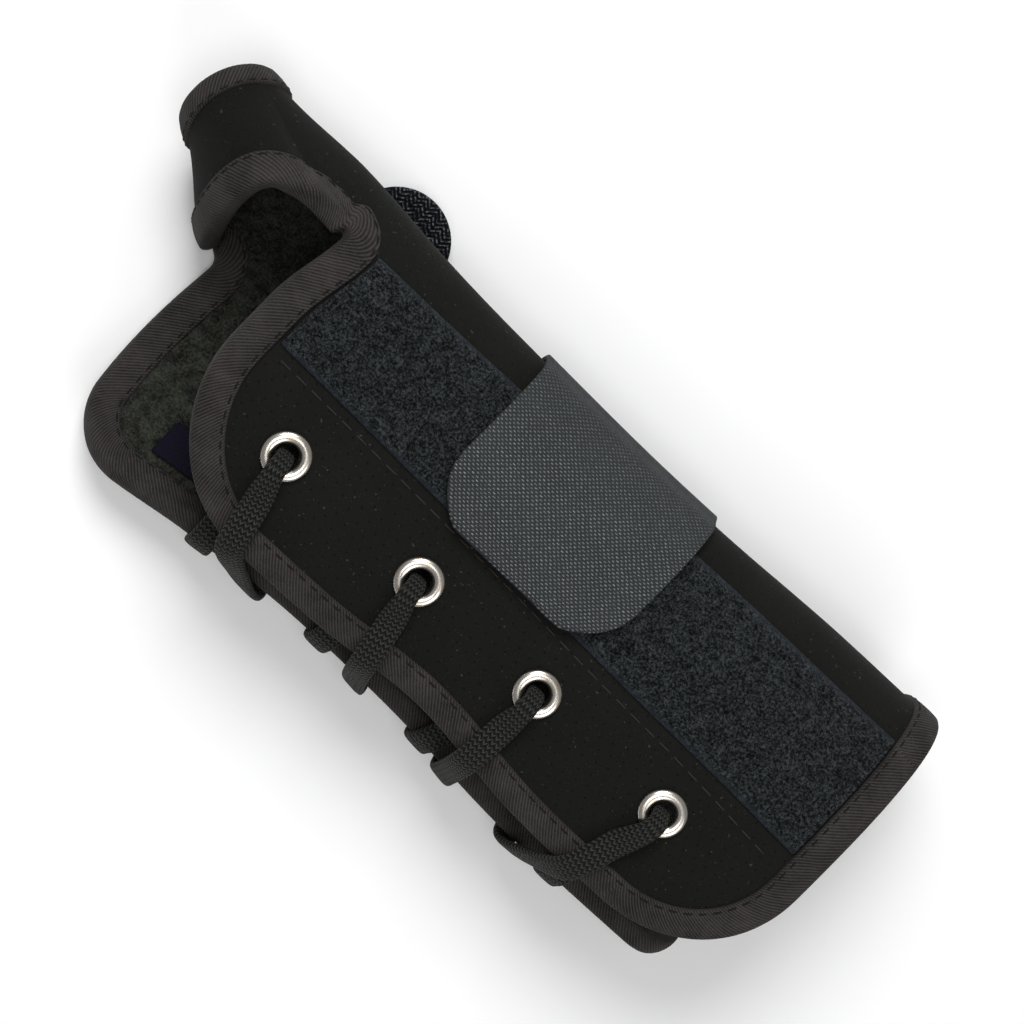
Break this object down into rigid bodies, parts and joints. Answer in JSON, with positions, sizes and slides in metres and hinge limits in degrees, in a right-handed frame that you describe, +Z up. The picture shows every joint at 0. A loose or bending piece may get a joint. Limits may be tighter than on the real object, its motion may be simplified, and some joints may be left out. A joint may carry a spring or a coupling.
{
  "type": "lace-up wrist and thumb splint",
  "caption": "Soft wrist brace lying on its side: a C-shaped padded sleeve with a thumb tube, bound edges, eyelets with lace loops, a wrist strap on a pile strip and a thumb strap.",
  "frame": {"origin": "middle of the box around the whole splint, on the surface it lies on", "axes": "+X towards the forearm end, +Y towards the thumb side, where the sleeve folds, +Z up, away from the surface it lies on"},
  "size_m": [0.2128, 0.0912, 0.0475],
  "materials": {
    "suede": "black napped synthetic suede with fine perforations outside, dark olive-black fleece lining inside",
    "edge_tape": "grey-brown twill tape with diagonal ribs",
    "pile": "black loop pile with a blue-grey bloom",
    "strap": "dark slate-grey plain weave",
    "thumb_strap": "black-navy coarse twill weave",
    "lining_tape": "navy napped tape",
    "nickel": "polished nickel with a warm tint",
    "lace": "flat black braid"
  },
  "bodies": {
    "root": {"sleeve_shell": "suede", "hand_opening_binding": "edge_tape", "panel_edge_binding": "edge_tape", "thumb_tip_binding": "edge_tape", "pile_strip": "pile", "wrist_strap": "strap", "lace_tab": "strap", "thumb_strap": "thumb_strap", "lining_tape": "lining_tape", "eyelet_1": "nickel", "lace_loop_1": "lace", "eyelet_2": "nickel", "lace_loop_2": "lace", "eyelet_3": "nickel", "lace_loop_3": "lace", "eyelet_4": "nickel", "lace_loop_4": "lace"}
  },
  "joints": []
}
